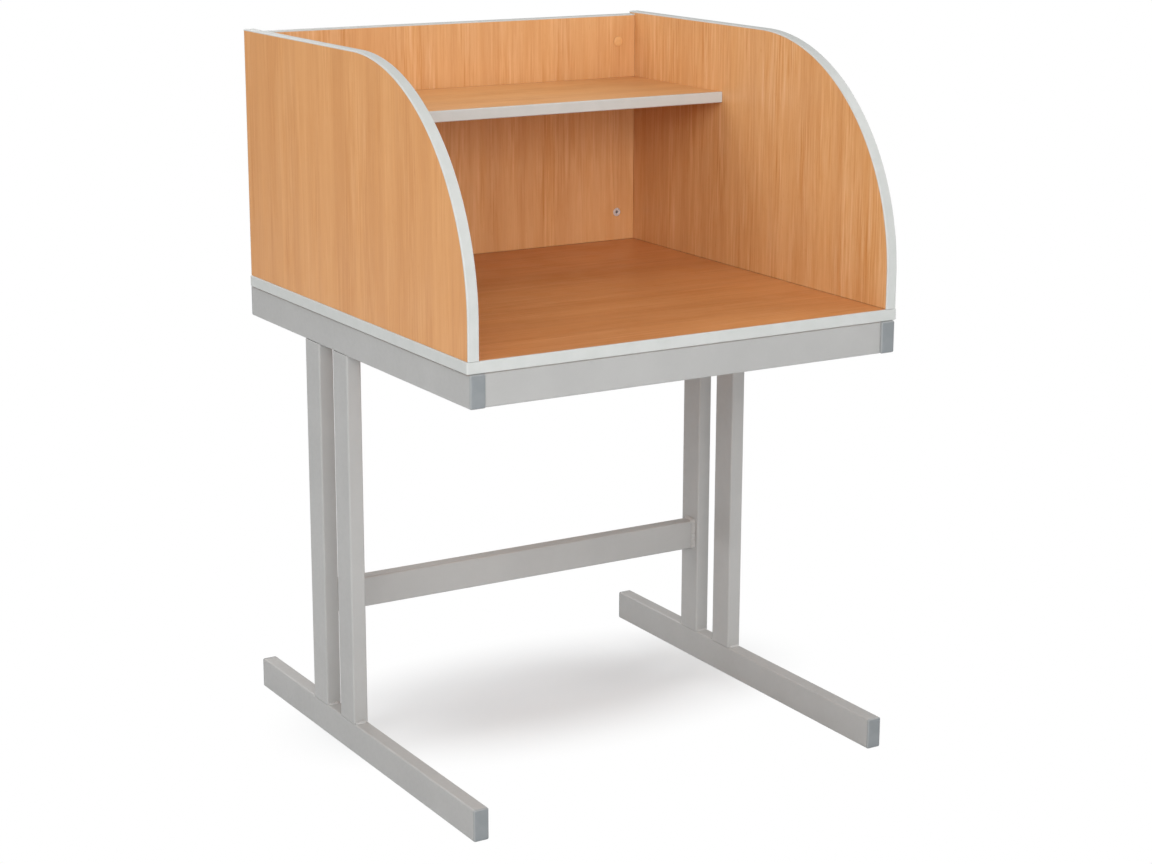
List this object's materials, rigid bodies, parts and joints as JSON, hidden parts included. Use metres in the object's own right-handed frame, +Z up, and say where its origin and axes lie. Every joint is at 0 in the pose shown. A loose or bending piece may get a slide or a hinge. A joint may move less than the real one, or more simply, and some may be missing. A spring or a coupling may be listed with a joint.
{
  "type": "study carrel",
  "caption": "Single-person study carrel: laminated desktop with curved side screens, back screen and shelf on a welded cantilever frame of rectangular steel tube.",
  "frame": {"origin": "on the floor, under the middle of the footprint", "axes": "+X to the user's right, +Y from the user towards the back panel, +Z up"},
  "size_m": [0.75, 0.76, 1.118],
  "materials": {
    "beech_laminate": "satin beech-grain laminate",
    "edge_strip": "satin light grey edge strip",
    "silver_paint": "satin silver-grey powder coat",
    "grey_plastic": "matt moulded",
    "zinc": "zinc plated",
    "cover_plastic": "matt moulded"
  },
  "bodies": {
    "carrel": {"left_foot": "silver_paint", "left_foot_front_cap": "grey_plastic", "left_foot_rear_cap": "grey_plastic", "left_top_arm": "silver_paint", "left_top_arm_front_cap": "grey_plastic", "left_top_arm_rear_cap": "grey_plastic", "left_front_upright": "silver_paint", "left_rear_upright": "silver_paint", "right_foot": "silver_paint", "right_foot_front_cap": "grey_plastic", "right_foot_rear_cap": "grey_plastic", "right_top_arm": "silver_paint", "right_top_arm_front_cap": "grey_plastic", "right_top_arm_rear_cap": "grey_plastic", "right_front_upright": "silver_paint", "right_rear_upright": "silver_paint", "front_rail": "silver_paint", "rear_rail": "silver_paint", "crossbar": "silver_paint", "desktop": "beech_laminate", "desktop_edging": "edge_strip", "left_side_panel": "beech_laminate", "left_side_edging": "edge_strip", "left_side_rear_edging": "edge_strip", "right_side_panel": "beech_laminate", "right_side_edging": "edge_strip", "right_side_rear_edging": "edge_strip", "back_panel": "beech_laminate", "back_panel_edging": "edge_strip", "shelf": "beech_laminate", "shelf_edging": "edge_strip", "back_cam_bolt_lower_left": "zinc", "back_cam_bolt_upper_left": "zinc", "shelf_cam_bolt_front_left": "zinc", "shelf_cam_bolt_rear_left": "zinc", "left_panel_screw_front": "zinc", "left_panel_screw_middle": "zinc", "left_panel_screw_rear": "zinc", "left_arm_screw_front": "zinc", "left_arm_screw_rear": "zinc", "back_cam_bolt_lower_right": "zinc", "back_cam_bolt_upper_right": "zinc", "shelf_cam_bolt_front_right": "zinc", "shelf_cam_bolt_rear_right": "zinc", "right_panel_screw_front": "zinc", "right_panel_screw_middle": "zinc", "right_panel_screw_rear": "zinc", "right_arm_screw_front": "zinc", "right_arm_screw_rear": "zinc"},
    "back_cam_lower_left": {"back_cam_lower_left": "zinc"},
    "back_cam_upper_left": {"back_cam_upper_left": "zinc"},
    "cam_cover_left": {"cam_cover_left": "cover_plastic"},
    "shelf_cam_front_left": {"shelf_cam_front_left": "zinc"},
    "shelf_cam_rear_left": {"shelf_cam_rear_left": "zinc"},
    "back_cam_lower_right": {"back_cam_lower_right": "zinc"},
    "back_cam_upper_right": {"back_cam_upper_right": "zinc"},
    "cam_cover_right": {"cam_cover_right": "cover_plastic"},
    "shelf_cam_front_right": {"shelf_cam_front_right": "zinc"},
    "shelf_cam_rear_right": {"shelf_cam_rear_right": "zinc"}
  },
  "joints": [
    {"name": "back_cam_lower_left_turn", "type": "hinge", "parent": "carrel", "child": "back_cam_lower_left", "pos_m": [-0.321, 0.3545, 0.768], "axis": [0, -1, 0], "range_deg": [0, 190]},
    {"name": "back_cam_upper_left_turn", "type": "hinge", "parent": "carrel", "child": "back_cam_upper_left", "pos_m": [-0.321, 0.3545, 1.068], "axis": [0, -1, 0], "range_deg": [0, 190]},
    {"name": "cam_cover_left_pull", "type": "slide", "parent": "back_cam_upper_left", "child": "cam_cover_left", "axis": [0, -1, 0], "range_m": [0, 0.006]},
    {"name": "shelf_cam_front_left_turn", "type": "hinge", "parent": "carrel", "child": "shelf_cam_front_left", "pos_m": [-0.321, 0.12, 0.988], "axis": [0, 0, -1], "range_deg": [0, 190]},
    {"name": "shelf_cam_rear_left_turn", "type": "hinge", "parent": "carrel", "child": "shelf_cam_rear_left", "pos_m": [-0.321, 0.31, 0.988], "axis": [0, 0, -1], "range_deg": [0, 190]},
    {"name": "back_cam_lower_right_turn", "type": "hinge", "parent": "carrel", "child": "back_cam_lower_right", "pos_m": [0.321, 0.3545, 0.768], "axis": [0, -1, 0], "range_deg": [0, 190]},
    {"name": "back_cam_upper_right_turn", "type": "hinge", "parent": "carrel", "child": "back_cam_upper_right", "pos_m": [0.321, 0.3545, 1.068], "axis": [0, -1, 0], "range_deg": [0, 190]},
    {"name": "cam_cover_right_pull", "type": "slide", "parent": "back_cam_upper_right", "child": "cam_cover_right", "axis": [0, -1, 0], "range_m": [0, 0.006]},
    {"name": "shelf_cam_front_right_turn", "type": "hinge", "parent": "carrel", "child": "shelf_cam_front_right", "pos_m": [0.321, 0.12, 0.988], "axis": [0, 0, -1], "range_deg": [0, 190]},
    {"name": "shelf_cam_rear_right_turn", "type": "hinge", "parent": "carrel", "child": "shelf_cam_rear_right", "pos_m": [0.321, 0.31, 0.988], "axis": [0, 0, -1], "range_deg": [0, 190]}
  ]
}
